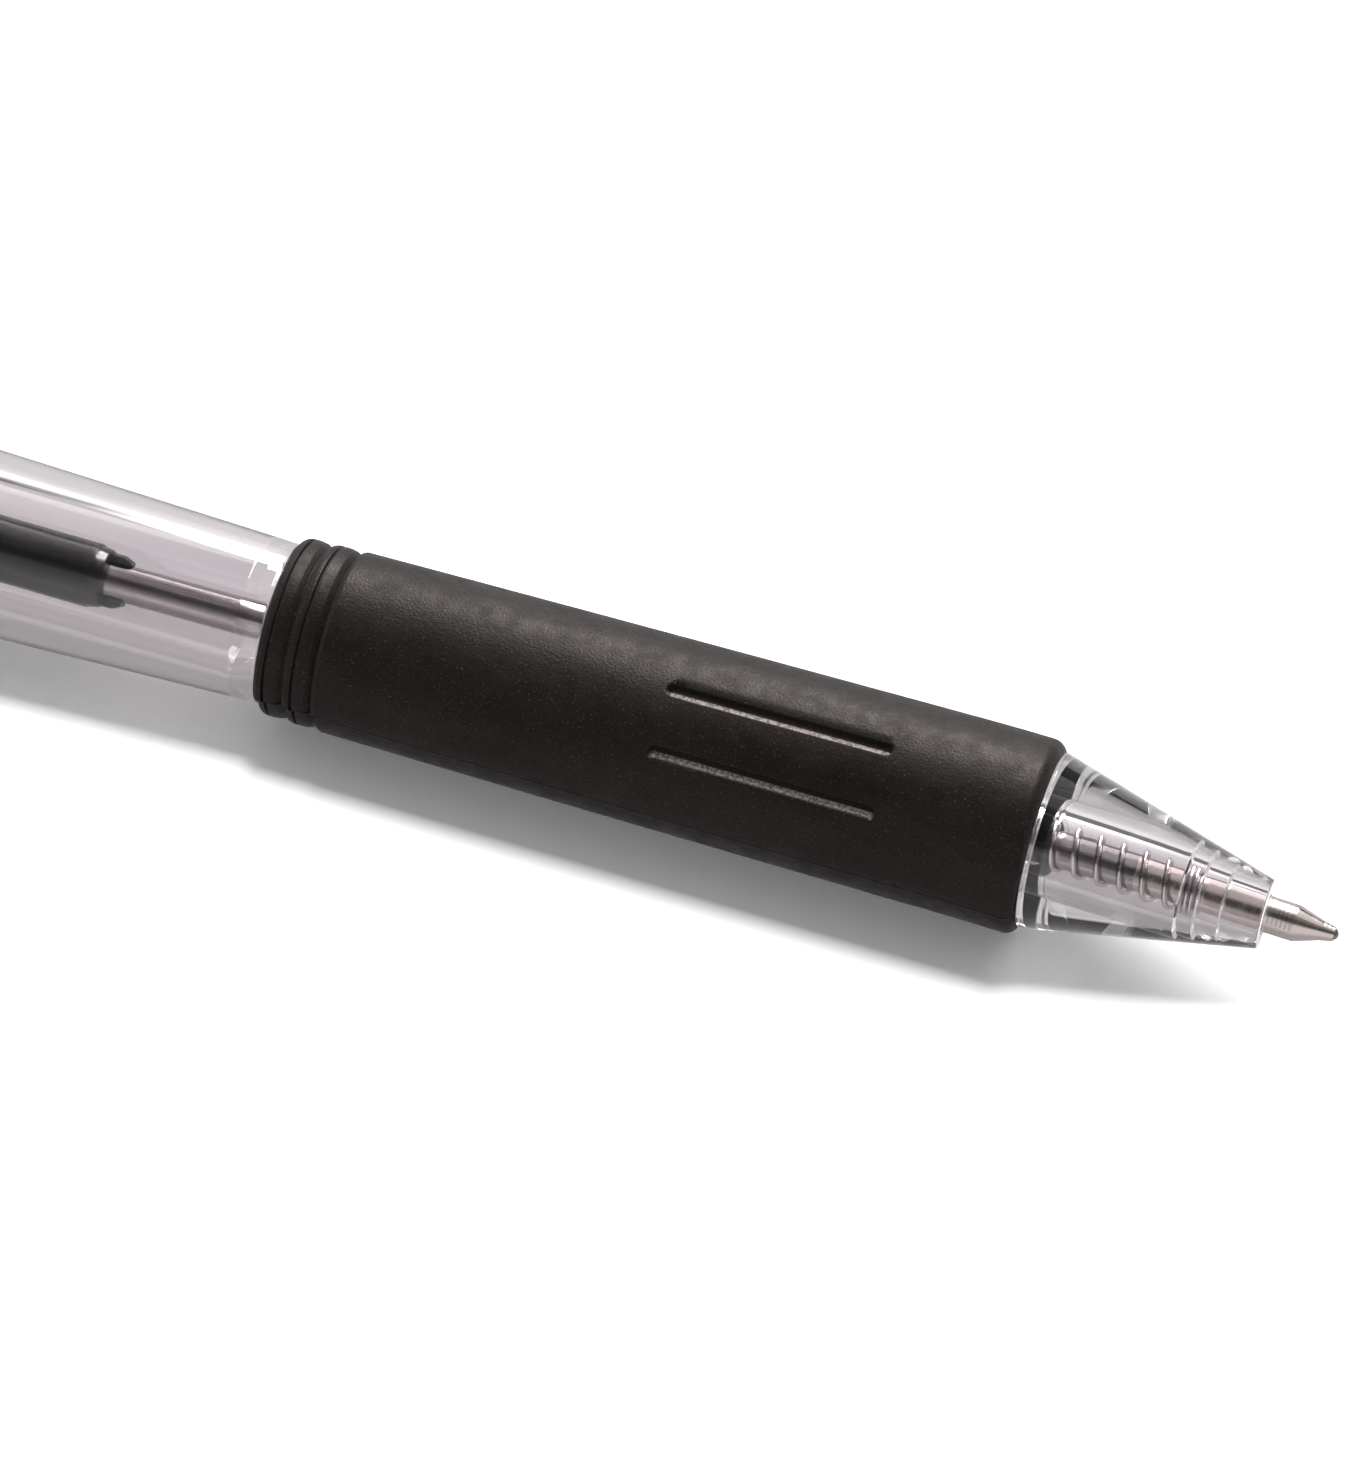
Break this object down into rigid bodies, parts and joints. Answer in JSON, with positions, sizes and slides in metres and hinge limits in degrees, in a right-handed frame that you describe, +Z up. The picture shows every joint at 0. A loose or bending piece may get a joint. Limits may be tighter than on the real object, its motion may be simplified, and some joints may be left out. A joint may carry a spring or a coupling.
{
  "type": "ballpoint pen",
  "caption": "Retractable ballpoint pen with a clear nose and barrel, a black rubber grip and a pocket clip, lying on its clip with the point out.",
  "frame": {"origin": "on the table, under the middle of the pen's length and width", "axes": "+X along the pen towards the writing end, +Z up from the table, the clip on the -Y side"},
  "size_m": [0.1446, 0.0154, 0.0123],
  "materials": {
    "clear_plastic": "polished",
    "grip_rubber": "satin",
    "ball_metal": "polished",
    "point_metal": "turned",
    "tube_metal": "polished",
    "ink": "wet",
    "follower_grease": "wet",
    "white_plastic": "moulded",
    "spring_steel": "drawn",
    "black_plastic": "moulded",
    "grey_plastic": "moulded"
  },
  "bodies": {
    "barrel": {"barrel": "clear_plastic", "grip_sleeve": "grip_rubber", "refill_spring": "spring_steel", "stop_sleeve": "black_plastic", "rear_cap": "black_plastic", "pocket_clip": "black_plastic"},
    "nose": {"nose_cone": "clear_plastic"},
    "refill": {"push_rod": "black_plastic", "refill_tube": "tube_metal", "refill_point": "point_metal", "ink_column": "ink", "ink_follower": "follower_grease", "refill_end_plug": "white_plastic"},
    "ball": {"writing_ball": "ball_metal"},
    "rotor": {"cam_rotor": "white_plastic"},
    "button": {"cam_plunger": "grey_plastic", "push_button": "black_plastic"}
  },
  "joints": [
    {"name": "refill_slide", "type": "slide", "parent": "barrel", "child": "refill", "axis": [1, 0, 0], "range_m": [-0.0055, 0.0008], "deforming": ["refill_spring"]},
    {"name": "button_slide", "type": "slide", "parent": "barrel", "child": "button", "axis": [1, 0, 0], "range_m": [-0.0055, 0.0008]},
    {"name": "rotor_spin", "type": "hinge", "parent": "refill", "child": "rotor", "pos_m": [-0.04345, 0.00154, 0.00613], "axis": [1, 0, 0], "continuous": true},
    {"name": "ball_roll", "type": "hinge", "parent": "refill", "child": "ball", "pos_m": [0.07185, 0.00154, 0.00613], "axis": [0, 1, 0], "continuous": true},
    {"name": "nose_unscrew", "type": "slide", "parent": "barrel", "child": "nose", "axis": [1, 0, 0], "range_m": [0, 0.006]}
  ],
  "couplings": [
    {"joint": "button_slide", "follows": "refill_slide", "ratio": 1}
  ]
}
